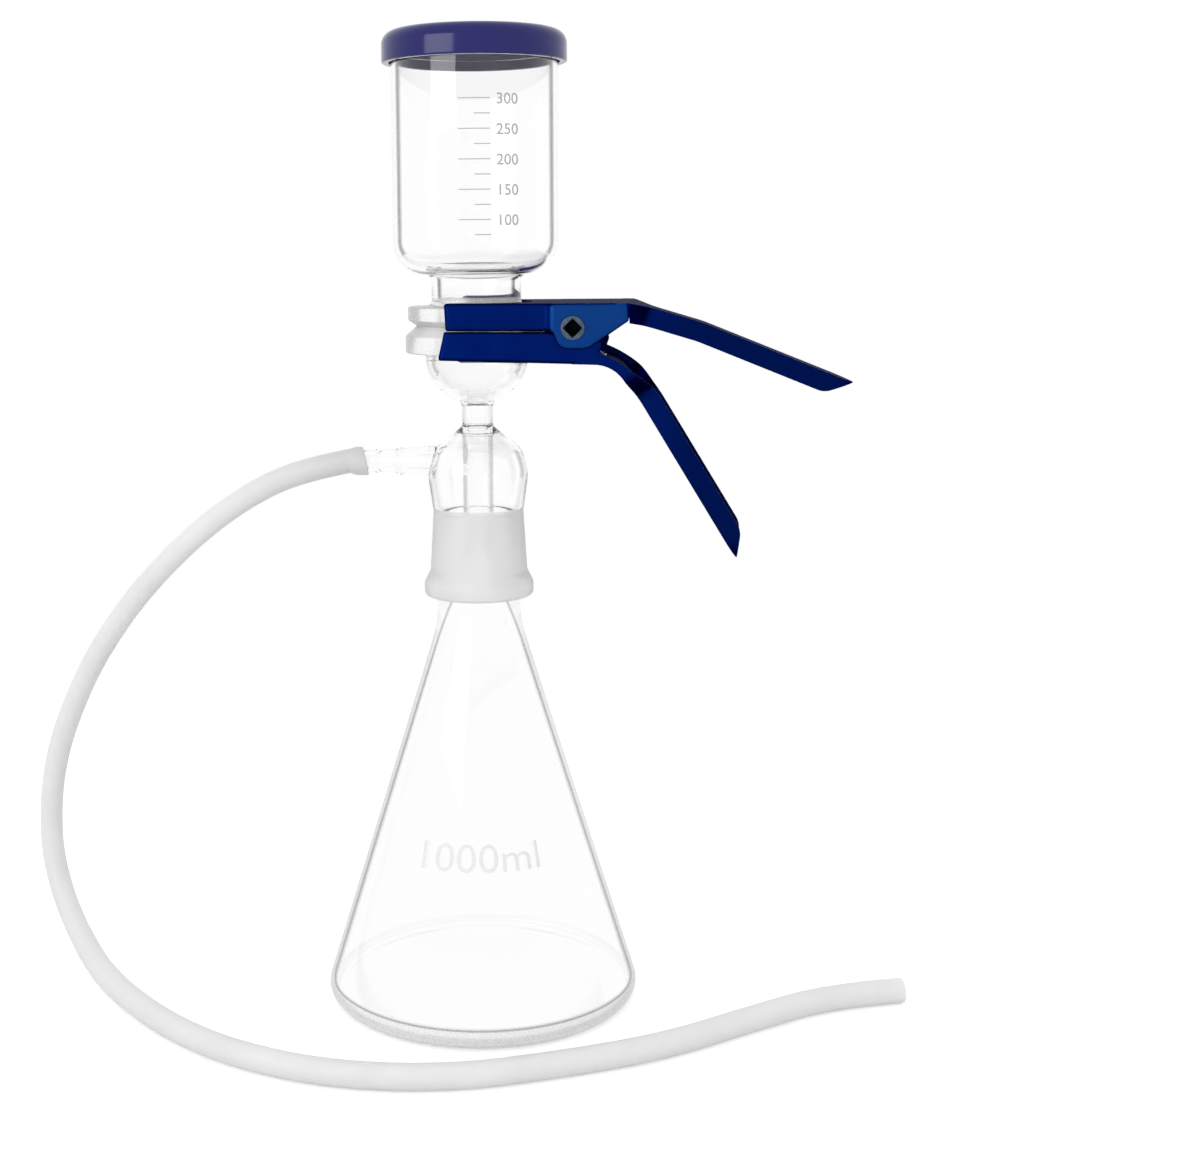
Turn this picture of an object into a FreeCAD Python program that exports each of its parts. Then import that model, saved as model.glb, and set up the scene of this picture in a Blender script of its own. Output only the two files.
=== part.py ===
import FreeCAD, Part
import math
import os
from FreeCAD import Vector

# Glass vacuum filtration unit for 47 mm membranes: a 300 ml funnel clamped on a fritted
# support base, which caps a one-litre conical receiving flask, with its vacuum hose.
#
# Millimetres, +Z up. The origin is the centre of the flask's base. +X points along the clamp
# handles, and the side arm with the hose points along -X.
# The pieces are the flask, filter_base, fritted_disc, funnel, funnel_lid, vacuum_hose,
# clamp_upper_jaw, clamp_lower_jaw, clamp_rivet and clamp_spring.
# Heights stack: flask, ground joint, base, contact plane, funnel, lid.

# ---- receiving flask ----
flask_cone_foot_radius = 73.2      # where the cone's line would meet the bench
flask_heel_radius = 5.6
flask_neck_radius = 18.9
flask_neck_height = 174.0          # where the cone's line meets the neck's
flask_neck_length = 15.2           # from there up to the ground joint
flask_shoulder_radius = 40.0       # the long sweep from cone to neck
flask_wall = 2.4
flask_floor = 4.5
flask_inner_heel_radius = 8.0
flask_inner_shoulder_radius = 12.0
flask_bore_radius = 15.0

# ---- ground joint between flask and base, 1:10 taper on the diameter ----
joint_large_radius = 20.0
joint_length = 35.0
joint_taper = 0.05                 # radius lost for each millimetre of height
joint_gap = 0.05                   # radial clearance between the ground faces
joint_swell = 2.5                  # height over which the neck widens to the joint
joint_edge_radius = 1.2
joint_foot = flask_neck_height + flask_neck_length
joint_top = joint_foot + joint_length

# ---- filter base, from its skirt up to the sealing plane ----
skirt_lap = 0.8                    # skirt reaches this far past the joint's top
skirt_foot_drop = 2.7              # and this far below its foot
skirt_wall = 2.3
skirt_bead_swell = 4.8             # bead's radius over the joint's large radius
skirt_bead_length = 6.0
skirt_bead_slope = 5.5             # length over which the bead runs out into the skirt
skirt_flare = 1.6
chamber_radius = 22.9
chamber_wide_rise = 17.5           # above the skirt's top
chamber_shoulder_rise = 28.0
chamber_shoulder_radius = 20.0
chamber_wall = 1.5
chamber_slope = 0.4                # the shoulder's inner corner drops this share of the wall
chamber_belly_bend = 18.0
chamber_shoulder_bend = 6.5
seal_rise = 38.5                   # ring seal where the stem enters the vacuum chamber
stem_radius = 6.9
stem_bore_radius = 4.8
stem_height = 10.5                 # outside, between the ring seal and the bowl
stem_bend = 3.0
seal_bend = 1.5
drip_tube_length = 64.0            # below the ring seal
drip_tip_slant = 9.0               # how much longer one side of the cut tip is
bowl_radius = 23.4                 # collecting bowl under the flange, nearly half a ball
bowl_depth = 35.0                  # sealing plane down to the stem's top
bowl_arc = 66.0                    # degrees of the ball down to the floor's slope
bowl_arc_corners = 3               # corners that the ball's outline is rounded from
bowl_root_bend = 0.3               # fillet between the bowl and the flange's foot
bowl_mouth_bend = 12.0             # inside, where the bowl turns in to the disc's ledge
bowl_fillet_share = 0.98           # of the ball's radius, so that neighbouring fillets just part
bowl_wall = 2.2
land_radius = 26.7                 # flat sealing land, on base and funnel alike
lower_flange_radius = 31.9
lower_flange_slope = 4.7           # height of the slope from the land to the rim
lower_flange_depth = 12.2          # sealing plane down to the flange's flat foot

skirt_top = joint_top + skirt_lap
seal_height = skirt_top + seal_rise
contact_height = seal_height + stem_height + bowl_depth
lower_flange_foot = contact_height - lower_flange_depth

# ---- side arm and its barb ----
arm_rise = 22.2                    # axis above the skirt's top
arm_radius = 4.8
arm_bore_radius = 3.15
arm_flare = 2.2                    # extra radius where it is blown into the chamber
arm_root = 8.0                     # where its solid begins, inside the chamber's wall
arm_flare_end = 22.0
arm_flare_fade = 22.0             # length over which it tapers to the barb
arm_end = 58.0                     # distance of its tip from the glass axis
ridge_swell = 0.6                  # ridge's radius over the arm there
ridge_places = (35.3, 46.6, 54.4)  # distance of each ridge from the glass axis
ridge_half_length = 2.0
arm_height = skirt_top + arm_rise

# ---- fritted disc ----
disc_radius = 20.0
disc_thickness = 4.5
disc_gap = 0.05                    # radial clearance in its recess
disc_ledge = 1.8                   # width of the ledge it sits on

# ---- funnel ----
funnel_radius = 36.8
funnel_wall = 1.9
funnel_cup_height = 101.5          # outer floor of the cup up to its rim
funnel_corner_radius = 14.5
funnel_bead_swell = 0.7            # rim bead's radius over the cup's
funnel_bead_height = 4.0
funnel_neck_radius = 20.0
funnel_neck_height = 14.0
funnel_neck_bend = 3.0
funnel_bore_radius = 17.5
funnel_bore_bend = 5.0
upper_flange_radius = 30.7
upper_flange_slope = 2.4           # height of the slope from the land to the rim
upper_flange_thickness = 8.5
upper_flange_top = contact_height + upper_flange_thickness
funnel_floor_height = upper_flange_top + funnel_neck_height
funnel_rim_height = funnel_floor_height + funnel_cup_height

# ---- lid ----
lid_wall = 3.25
lid_plate = 5.2                    # thickness over the funnel's rim
lid_skirt = 8.7                    # how far it reaches down round the rim
lid_edge_radius = 6.0
lid_gap = 0.25                     # radial clearance round the funnel's bead

# ---- clamp ----
sheet = 1.8                        # sheet metal thickness
bend_radius = 2.0                  # outside radius where web turns into cheek
web_gap = 0.1                      # between each web and the flange it presses on
cheek_gap = 0.3                    # between the cheeks and the larger flange
ear_gap = 0.15                     # between the ears that lie on each other
fork_gap = 1.8                     # round the glass in the fork's slot
pivot_setback = 13.7               # rivet's axis behind the larger flange's rim
upper_tip = -10.3                  # fork tips, at the web
lower_tip = -12.8
upper_tip_rake = 0.6               # how far the tips' free edges stand back
lower_tip_rake = 2.5
upper_cheek_drop = 1.4             # upper cheeks' free edge below the sealing plane
jaw_gap = 0.15                     # between the cheeks' edges at the fork tips
ear_end_gap = 0.7                  # between the same edges at the ears
jaw_tilt = 1.5                     # degrees that the lower jaw's tips stand closed
ear_radius = 9.2
ear_flat = 6.2                     # half the straight edge under the rivet
ear_front_radius = 6.0
ear_rear_setback = 23.8            # rear end of the ears behind the pivot
inner_ear_radius = 7.2
inner_ear_foot = 6.5               # where its rear edge meets the lever's wall, below the pivot
inner_ear_waist = 2.0
joggle_setback = 2.3               # behind the flange's rim, where the ears step outwards
joggle_length = 2.4
joggle_bend = 3.0
handle_half_width = 12.0
handle_depth = 8.5                 # height of the handles' side walls
handle_tip_taper = 11.0            # length over which the side walls run out at the tip
handle_tip_radius = 9.0
shoulder_length = 10.0             # over which a jaw narrows to its handle
shoulder_radius = 5.0
waist_radius = 8.0
upper_handle_bend = 12.0           # radii of the handles' bends
upper_handle_sweep = 80.0
upper_handle_knee = (31.6, 9.5)    # from the ear's end to the middle bend, along and down
upper_handle_reach = 70.5          # knee to tip
upper_handle_drop = 22.2           # degrees below the web
lower_handle_setback = 18.0        # its bend behind the pivot
lower_handle_bend = 15.0
lower_wall_sweep = 55.0            # its walls cut the corner of the bend
lower_handle_reach = 102.8
lower_handle_drop = 57.5           # degrees below the web

flange_radius = max(upper_flange_radius, lower_flange_radius)
cheek_half_width = flange_radius + cheek_gap + sheet
ear_half_width = cheek_half_width + ear_gap + sheet
fork_half_width = max(bowl_radius, funnel_neck_radius) + fork_gap
pivot_x = flange_radius + pivot_setback
pivot_z = contact_height
upper_web_inner = upper_flange_top + web_gap
upper_cheek_foot = contact_height - upper_cheek_drop

# ---- rivet and spring ----
rivet_radius = 3.5
rivet_gap = 0.05                   # running clearance in and beside the ears
rivet_ring_width = 1.7
rivet_ring_thickness = 1.0
rivet_socket_half_diagonal = 4.1   # square socket punched in the near end
rivet_socket_corner = 0.6
rivet_socket_depth = 6.0
rivet_wall = 0.7                   # round the hollow under the socket
rivet_head_width = 2.1
rivet_head_height = 1.9
spring_wire_radius = 0.8
spring_turns = 4                   # whole turns, besides the part turn that joins the legs
spring_pitch = 1.75
spring_gap = 0.5                   # between coil and rivet
spring_leg_reach = 12.0            # how far behind the pivot its legs bear on the webs
spring_rest_gap = 0.15             # between a leg's end and the web it pushes on

# ---- vacuum hose ----
hose_radius = 5.5
hose_bore_radius = 4.0
hose_stretch_gap = 0.05            # round the barb's ridges
hose_stretched_wall = 1.05
hose_mouth = 51.5                  # distance of the hose's mouth from the glass axis
hose_neck_length = 3.0             # where the stretched mouth shrinks back to size
hose_start = 59.0                  # where it leaves the barb
# Route of the hose's centre line after the barb: off the arm, down in one loose curl behind
# the flask's left side, then along the bench round the front to its cut end.
hose_route = (
    (-hose_start, 0.0, arm_height),
    (-79.0, 0.0, 243.2),
    (-102.0, 4.5, 234.0),
    (-132.0, 12.0, 214.3),
    (-167.5, 24.0, 181.3),
    (-196.0, 35.0, 144.2),
    (-214.8, 44.0, 108.2),
    (-223.7, 50.0, 83.5),
    (-227.2, 52.0, 61.0),
    (-226.0, 49.5, 39.5),
    (-219.0, 42.0, 22.5),
    (-208.5, 29.5, 11.0),
    (-194.5, 9.5, hose_radius),
    (-178.0, -17.0, hose_radius),
    (-156.5, -44.0, hose_radius),
    (-129.5, -70.5, hose_radius),
    (-97.5, -92.5, hose_radius),
    (-53.0, -108.0, hose_radius),
    (-2.5, -107.0, hose_radius),
    (43.0, -89.5, hose_radius),
    (86.0, -68.0, hose_radius),
    (124.0, -36.5, hose_radius),
    (160.0, -9.0, hose_radius),
    (192.0, 0.0, hose_radius),
)

FAR = 400.0                        # beyond the whole object, for cutting solids


# ---------------------------------------------------------------- outlines

def unit(u, v):
    length = math.hypot(u, v)
    return u / length, v / length


def rounded_wire(corners, place):
    """Closed wire of straight sides; each corner (u, v, radius) is rounded by a tangent arc."""
    starts = []
    middles = []
    ends = []
    count = len(corners)
    for i, (u, v, radius) in enumerate(corners):
        before = corners[i - 1]
        after = corners[(i + 1) % count]
        in_u, in_v = unit(u - before[0], v - before[1])
        out_u, out_v = unit(after[0] - u, after[1] - v)
        turn = math.acos(max(-1.0, min(1.0, in_u * out_u + in_v * out_v)))
        if radius <= 0 or turn < 1e-6:
            starts.append((u, v))
            middles.append(None)
            ends.append((u, v))
            continue
        reach = radius * math.tan(turn / 2)
        inward_u, inward_v = unit(out_u - in_u, out_v - in_v)
        depth = radius / math.cos(turn / 2) - radius
        starts.append((u - in_u * reach, v - in_v * reach))
        middles.append((u + inward_u * depth, v + inward_v * depth))
        ends.append((u + out_u * reach, v + out_v * reach))
    edges = []
    for i in range(count):
        if middles[i]:
            edges.append(Part.Arc(place(*starts[i]), place(*middles[i]), place(*ends[i])).toShape())
        here = place(*ends[i])
        there = place(*starts[(i + 1) % count])
        if here.distanceToPoint(there) > 1e-5:
            edges.append(Part.LineSegment(here, there).toShape())
    return Part.Wire(edges)


def offset_path(corners, distance):
    """Open bent line moved to the left of its travel; the bends' radii follow."""
    lines = []
    for (u0, v0, _), (u1, v1, _) in zip(corners[:-1], corners[1:]):
        du, dv = unit(u1 - u0, v1 - v0)
        lines.append((u0 - dv * distance, v0 + du * distance, du, dv))
    moved = [(lines[0][0], lines[0][1], corners[0][2])]
    for (a_u, a_v, a_du, a_dv), (b_u, b_v, b_du, b_dv), corner in zip(lines, lines[1:], corners[1:]):
        cross = a_du * b_dv - a_dv * b_du
        along = ((b_u - a_u) * b_dv - (b_v - a_v) * b_du) / cross
        radius = max(0.3, corner[2] - distance * math.copysign(1.0, cross))
        moved.append((a_u + a_du * along, a_v + a_dv * along, radius))
    last_u, last_v, du, dv = lines[-1]
    end = corners[-1]
    moved.append((end[0] - dv * distance, end[1] + du * distance, end[2]))
    return moved


def lathe(corners):
    """Solid turned about Z from a half section of (radius, height, corner radius)."""
    wire = rounded_wire(corners, lambda r, z: Vector(r, 0, z))
    return Part.Face(wire).revolve(Vector(0, 0, 0), Vector(0, 0, 1), 360)


def side_slab(corners, half_width):
    """Side outline of (x, z, corner radius) given the same width each side of the XZ plane."""
    wire = rounded_wire(corners, lambda x, z: Vector(x, -half_width, z))
    return Part.Face(wire).extrude(Vector(0, 2 * half_width, 0))


def plan_slab(corners, origin, along):
    """Plan outline of (u, y, corner radius) in the plane through origin that holds Y and along,
    made thick both ways across that plane."""
    across = Vector(0, 1, 0)
    normal = along.cross(across)
    shift = normal * -FAR
    wire = rounded_wire(corners, lambda u, y: origin + along * u + across * y + shift)
    return Part.Face(wire).extrude(normal * (2 * FAR))


def mirrored(half):
    """Plan outline that is the same each side of its middle line, from its left half."""
    return half + [(u, -y, radius) for u, y, radius in reversed(half)]


# ---------------------------------------------------------------- glass

def cone_radius(height):
    """Outer radius of the flask's straight cone."""
    slope = (flask_cone_foot_radius - flask_neck_radius) / flask_neck_height
    return flask_cone_foot_radius - slope * height


def ground_radius(height):
    """Radius of the ground joint's outer cone."""
    return joint_large_radius - joint_taper * (height - joint_foot)


def make_flask():
    lean = math.atan2(flask_cone_foot_radius - flask_neck_radius, flask_neck_height)
    wall_across = flask_wall / math.cos(lean)
    neck_wall = flask_neck_radius - flask_bore_radius
    inner_neck_height = flask_neck_height - (wall_across - neck_wall) / math.tan(lean)
    return lathe([
        (0, 0, 0),
        (flask_cone_foot_radius, 0, flask_heel_radius),
        (flask_neck_radius, flask_neck_height, flask_shoulder_radius),
        (flask_neck_radius, joint_foot - joint_swell, 1.5),
        (joint_large_radius, joint_foot, 0.5),
        (ground_radius(joint_top), joint_top, joint_edge_radius),
        (flask_bore_radius, joint_top, joint_edge_radius),
        (flask_bore_radius, inner_neck_height, flask_inner_shoulder_radius),
        (cone_radius(flask_floor) - wall_across, flask_floor, flask_inner_heel_radius),
        (0, flask_floor, 0),
    ])


def arm_surface(along):
    """Side arm's radius, without its ridges, at a distance along the arm."""
    fade = (along - arm_flare_end) / arm_flare_fade
    return arm_radius + arm_flare * (1 - min(1.0, max(0.0, fade)))


def arm_section():
    """Half section of the side arm, as (distance along the arm, radius, corner radius)."""
    flare_radius = arm_radius + arm_flare
    stations = [(arm_flare_end + arm_flare_fade, 0)]
    for place in ridge_places:
        stations.append((place - ridge_half_length, 0))
        stations.append((place, ridge_swell))
        stations.append((place + ridge_half_length, 0))
    section = [
        (arm_root, 0, 0),
        (arm_root, flare_radius, 0),
        (arm_flare_end, flare_radius, 3.0),
    ]
    for along, swell in sorted(stations):
        section.append((along, arm_surface(along) + swell, 0.5))
    section.append((arm_end, arm_radius, 0.8))
    section.append((arm_end, 0, 0))
    return section


def turned_on_arm(section):
    """Solid turned about the side arm's axis."""
    wire = rounded_wire(section, lambda along, radius: Vector(-along, 0, arm_height + radius))
    return Part.Face(wire).revolve(Vector(0, 0, arm_height), Vector(1, 0, 0), 360)


def chamber_outline(inset):
    """Vacuum chamber's shoulder and belly, moved inwards by inset."""
    shoulder = skirt_top + chamber_shoulder_rise - inset * chamber_slope
    return [
        (chamber_shoulder_radius - inset, shoulder, chamber_shoulder_bend - inset),
        (chamber_radius - inset, skirt_top + chamber_wide_rise, chamber_belly_bend - inset),
    ]


def bowl_centre():
    """Height of the middle of the ball that the bowl follows."""
    return lower_flange_foot - bowl_root_bend


def bowl_corners(radius, mouth_bend):
    """Corners whose fillets follow the ball; the mouth's corner has a fillet of its own."""
    span = math.radians(bowl_arc) / bowl_arc_corners
    reach = radius / math.cos(span / 2)
    corners = []
    for corner in range(bowl_arc_corners):
        angle = span * (corner + 0.5)
        bend = bowl_fillet_share * radius if corner else mouth_bend
        corners.append((reach * math.cos(angle), bowl_centre() - reach * math.sin(angle), bend))
    return corners


def bowl_floor_height(ball, radius):
    """Height at a radius of the floor's slope, which leaves the ball where its arc ends."""
    arc = math.radians(bowl_arc)
    return bowl_centre() - (ball - radius * math.cos(arc)) / math.sin(arc)


def make_filter_base():
    stem_top = contact_height - bowl_depth
    bowl_inner_radius = bowl_radius - bowl_wall
    bowl_outside = bowl_corners(bowl_radius, bowl_fillet_share * bowl_radius)
    bowl_inside = list(reversed(bowl_corners(bowl_inner_radius, bowl_mouth_bend)))
    bore_top = bowl_floor_height(bowl_inner_radius, stem_bore_radius)
    disc_seat = contact_height - disc_thickness
    recess = disc_radius + disc_gap
    socket_top_radius = ground_radius(skirt_top) + joint_gap
    socket_foot_radius = ground_radius(joint_foot) + joint_gap
    skirt_radius = socket_top_radius + skirt_wall
    skirt_foot = joint_foot - skirt_foot_drop
    bead_radius = joint_large_radius + skirt_bead_swell
    bead_top = skirt_foot + skirt_bead_length
    drip_tip = seal_height - drip_tube_length
    outside = [
        (recess, contact_height, 0),
        (land_radius, contact_height, 1.0),
        (lower_flange_radius, contact_height - lower_flange_slope, 1.5),
        (lower_flange_radius, lower_flange_foot, 1.0),
        (bowl_radius, lower_flange_foot, bowl_root_bend),
        *bowl_outside,
        (stem_radius, stem_top, stem_bend),
        (stem_radius, seal_height, stem_bend),
    ]
    outside += chamber_outline(0)
    outside += [
        (skirt_radius, skirt_top, 4.0),
        (skirt_radius + skirt_flare, bead_top + skirt_bead_slope, 4.0),
        (bead_radius, bead_top, 4.0),
        (bead_radius, skirt_foot, 2.0),
        (socket_foot_radius + 0.3, skirt_foot, 0.8),
        (socket_foot_radius, joint_foot, 0),
        (socket_top_radius, skirt_top, 0.4),
    ]
    inside = list(reversed(chamber_outline(chamber_wall)))
    inside += [
        (stem_radius, seal_height - chamber_wall, seal_bend),
        (stem_radius, drip_tip, 0.5),
        (stem_bore_radius, drip_tip, 0.5),
        (stem_bore_radius, bore_top, stem_bend),
        *bowl_inside,
        (recess - disc_ledge, disc_seat, 0),
        (recess, disc_seat, 0),
    ]
    body = lathe(outside + inside)
    body = body.fuse(turned_on_arm(arm_section()).cut(chamber_space()))
    body = body.cut(turned_on_arm([
        (arm_root, 0, 0),
        (arm_root, arm_bore_radius, 0),
        (FAR, arm_bore_radius, 0),
        (FAR, 0, 0),
    ]))
    return body.cut(drip_tip_cut(drip_tip))


def chamber_space():
    """The chamber's hollow, which the side arm's blown end must not fill."""
    foot = joint_top - joint_length / 2
    foot_radius = chamber_radius - chamber_wall
    hollow = [(0, foot, 0), (foot_radius, foot, 0)]
    hollow += reversed(chamber_outline(chamber_wall))
    hollow += [(stem_radius, seal_height - chamber_wall, seal_bend), (0, seal_height - chamber_wall, 0)]
    return lathe(hollow)


def drip_tip_cut(drip_tip):
    """Slanting end of the drip tube."""
    margin = 1.0
    low = drip_tip - margin
    side = stem_radius + margin
    return side_slab([
        (-side, low, 0),
        (side, low, 0),
        (side, drip_tip + drip_tip_slant, 0),
        (-stem_radius, drip_tip, 0),
    ], side)


def make_fritted_disc():
    foot = contact_height - disc_thickness
    return lathe([
        (0, foot, 0),
        (disc_radius, foot, 0.3),
        (disc_radius, contact_height, 0.3),
        (0, contact_height, 0),
    ])


def make_funnel():
    inner = funnel_radius - funnel_wall
    cup_floor = funnel_floor_height + 1.0      # the floor falls this much towards the neck
    bead_radius = funnel_radius + funnel_bead_swell
    bead_foot = funnel_rim_height - funnel_bead_height
    return lathe([
        (funnel_bore_radius, contact_height, 0),
        (land_radius, contact_height, 1.0),
        (upper_flange_radius, contact_height + upper_flange_slope, 0.8),
        (upper_flange_radius, upper_flange_top, 0.8),
        (funnel_neck_radius, upper_flange_top, funnel_neck_bend),
        (funnel_neck_radius, funnel_floor_height, funnel_neck_bend),
        (funnel_radius, cup_floor, funnel_corner_radius),
        (funnel_radius, bead_foot - funnel_bead_swell, 1.0),
        (bead_radius, bead_foot, 1.0),
        (bead_radius, funnel_rim_height, 1.3),
        (inner, funnel_rim_height, 1.1),
        (inner, cup_floor + funnel_wall, funnel_corner_radius - funnel_wall),
        (funnel_bore_radius, funnel_floor_height + funnel_wall, funnel_bore_bend),
    ])


def make_funnel_lid():
    socket = funnel_radius + funnel_bead_swell + lid_gap
    lid_radius = socket + lid_wall
    lid_foot = funnel_rim_height - lid_skirt
    lid_top = funnel_rim_height + lid_plate
    return lathe([
        (0, lid_top, 0),
        (0, funnel_rim_height, 0),
        (socket, funnel_rim_height, 0.4),
        (socket, lid_foot, 0.5),
        (lid_radius, lid_foot, 0.8),
        (lid_radius, lid_top, lid_edge_radius),
    ])


# ---------------------------------------------------------------- clamp

def across_pivot(radius, half_length):
    return Part.makeCylinder(radius, 2 * half_length, Vector(pivot_x, -half_length, pivot_z), Vector(0, 1, 0))


def fold_edges(solid, outward, tip):
    """Edges where the jaw's web turns into its cheeks, past the free corners at the fork's tips."""
    free_corner = 3.0
    found = []
    for face in solid.Faces:
        low_u, high_u, low_v, high_v = face.ParameterRange
        normal = face.normalAt((low_u + high_u) / 2, (low_v + high_v) / 2)
        if normal.z * outward > 0.99:
            for edge in face.Edges:
                middle = edge.CenterOfMass
                if abs(middle.y) > 1.0 and middle.x > tip + free_corner:
                    found.append(edge)
    return found


def wall_edge(path, wall_side):
    """Free edge of a lever's side walls, which slant up to the web at the tip."""
    edge_line = offset_path(path, wall_side * handle_depth)
    (before_x, before_z, _), (tip_x, tip_z, _) = edge_line[-2:]
    share = handle_tip_taper / math.hypot(tip_x - before_x, tip_z - before_z)
    end_x = tip_x - share * (tip_x - before_x)
    end_z = tip_z - share * (tip_z - before_z)
    edge_line[-1] = (end_x, end_z, handle_tip_radius)
    return edge_line


def folded_sheet(cheek, path, edge_line, half_width, cheek_plan, lever_plan):
    """A jaw with its lever, pressed from one sheet.

    cheek is the side outline of the jaw, path the web's outer line from the fork to the tip,
    edge_line the walls' free edge beside it. The two plans give the outline for an inset: the
    jaw's seen along Z, the lever's square to the lever."""
    wide = half_width + 5.0
    wall_side = math.copysign(1.0, edge_line[0][1] - path[0][1])
    jaw = side_slab(cheek, wide).common(cheek_plan(0))
    jaw = jaw.makeFillet(bend_radius, fold_edges(jaw, -wall_side, cheek[0][0]))
    lever = side_slab(path + list(reversed(edge_line)), wide).common(lever_plan(0))
    inner_line = offset_path(path, wall_side * sheet)
    far_line = offset_path(path, wall_side * 2 * ear_half_width)
    hollow = side_slab(inner_line + list(reversed(far_line)), wide)
    room = cheek_plan(sheet).fuse(lever_plan(sheet))
    space = hollow.common(room)
    return jaw.cut(space).fuse(lever.cut(space))


def lever_outline(inset, root_half_width, root, tip, begin, straight):
    """Lever seen square to itself: jaw width, shoulders, then a narrow grip with a round end."""
    along = (tip - root).normalize()
    reach = tip.distanceToPoint(root)
    wide = root_half_width - inset
    narrow = handle_half_width - inset
    return plan_slab(mirrored([
        (begin, wide, 0),
        (straight, wide, shoulder_radius),
        (straight + shoulder_length, narrow, waist_radius),
        (reach - inset, narrow, narrow),
    ]), root, along)


def fork_slot(lowest, highest):
    """The slot that the glass neck slides into, open towards the tips."""
    height = highest - lowest
    round_end = Part.makeCylinder(fork_half_width, height, Vector(0, 0, lowest))
    mouth = Part.makeBox(FAR, 2 * fork_half_width, height, Vector(-FAR, -fork_half_width, lowest))
    return round_end.fuse(mouth)


def open_front(tip, inset):
    """Where a jaw's plan begins: at its tips, or well before them for the hollow inside it."""
    return tip - 10.0 if inset > 0 else tip


def make_clamp_upper_jaw():
    web_outer = upper_web_inner + sheet
    ear_rear = pivot_x + ear_rear_setback
    joggle_start = flange_radius + joggle_setback
    joggle_end = joggle_start + joggle_length
    ear_foot = pivot_z - ear_radius
    cheek = [
        (upper_tip, web_outer, 1.0),
        (ear_rear, web_outer, 0),
        (ear_rear, web_outer - handle_depth + 1.0, 1.5),
        (pivot_x + ear_flat, ear_foot, ear_radius),
        (pivot_x - ear_flat, ear_foot, ear_front_radius),
        (joggle_end, upper_cheek_foot, 2.0),
        (upper_tip + upper_tip_rake, upper_cheek_foot, 1.0),
    ]
    knee_x = ear_rear + upper_handle_knee[0]
    knee_z = web_outer - upper_handle_knee[1]
    drop = math.radians(upper_handle_drop)
    tip_x = knee_x + upper_handle_reach * math.cos(drop)
    tip_z = knee_z - upper_handle_reach * math.sin(drop)
    path = [
        (open_front(upper_tip, sheet), web_outer, 0),
        (ear_rear, web_outer, upper_handle_bend),
        (knee_x, knee_z, upper_handle_sweep),
        (tip_x, tip_z, 0),
    ]

    def cheek_plan(inset):
        return plan_slab(mirrored([
            (open_front(upper_tip, inset), cheek_half_width - inset, 0),
            (joggle_start, cheek_half_width - inset, joggle_bend),
            (joggle_end, ear_half_width - inset, joggle_bend),
            (ear_rear, ear_half_width - inset, 0),
        ]), Vector(0, 0, 0), Vector(1, 0, 0))

    def lever_plan(inset):
        root = Vector(ear_rear, 0, web_outer)
        return lever_outline(inset, ear_half_width, root, Vector(tip_x, 0, tip_z), -shoulder_radius, 0.0)

    jaw = folded_sheet(cheek, path, wall_edge(path, -1), ear_half_width, cheek_plan, lever_plan)
    jaw = jaw.cut(fork_slot(upper_web_inner - sheet, web_outer + sheet))
    return jaw.cut(across_pivot(rivet_radius + rivet_gap, FAR))


def lower_web_level():
    """Height of the lower web's inner face before the jaw is tilted about the pivot."""
    tilt = math.radians(jaw_tilt)
    pressed_drop = pivot_z - (lower_flange_foot - web_gap)
    return pivot_z - (pressed_drop + (pivot_x - lower_tip) * math.sin(tilt)) / math.cos(tilt)


def make_clamp_lower_jaw():
    web_inner = lower_web_level()
    web_outer = web_inner - sheet
    tip_rise = (pivot_x - lower_tip) * math.sin(math.radians(jaw_tilt))
    tip_cheek_top = upper_cheek_foot - jaw_gap - tip_rise
    drop = math.radians(lower_handle_drop)
    root_x = pivot_x + lower_handle_setback
    tip_x = root_x + lower_handle_reach * math.cos(drop)
    tip_z = web_outer - lower_handle_reach * math.sin(drop)
    bend_reach = lower_handle_bend * math.tan(drop / 2)
    bend_start = root_x - bend_reach
    ear_top = pivot_z + inner_ear_radius
    ear_round = inner_ear_radius * 0.95
    cheek = [
        (lower_tip, web_outer, 1.0),
        (bend_start, web_outer, 0),
        (bend_start + 3.0, pivot_z - inner_ear_foot, 3.0),
        (pivot_x + inner_ear_radius + 1.8, pivot_z - inner_ear_waist, 5.0),
        (pivot_x + inner_ear_radius, ear_top, ear_round),
        (pivot_x - inner_ear_radius, ear_top, ear_round),
        (pivot_x - inner_ear_radius, upper_cheek_foot - ear_end_gap, 1.0),
        (lower_tip + lower_tip_rake, tip_cheek_top, 1.0),
    ]
    path = [
        (open_front(lower_tip, sheet), web_outer, 0),
        (root_x, web_outer, lower_handle_bend),
        (tip_x, tip_z, 0),
    ]
    edge_line = wall_edge(path, 1)
    edge_line[1] = (edge_line[1][0], edge_line[1][1], lower_wall_sweep)

    def cheek_plan(inset):
        return plan_slab(mirrored([
            (open_front(lower_tip, inset), cheek_half_width - inset, 0),
            (root_x, cheek_half_width - inset, 0),
        ]), Vector(0, 0, 0), Vector(1, 0, 0))

    def lever_plan(inset):
        root = Vector(root_x, 0, web_outer)
        begin = -bend_reach * 1.2
        return lever_outline(inset, cheek_half_width, root, Vector(tip_x, 0, tip_z), begin, bend_reach)

    jaw = folded_sheet(cheek, path, edge_line, cheek_half_width, cheek_plan, lever_plan)
    jaw = jaw.cut(fork_slot(web_outer - sheet, web_inner + sheet))
    jaw = jaw.cut(across_pivot(rivet_radius + rivet_gap, FAR))
    jaw.rotate(Vector(pivot_x, 0, pivot_z), Vector(0, 1, 0), jaw_tilt)
    return jaw


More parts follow.
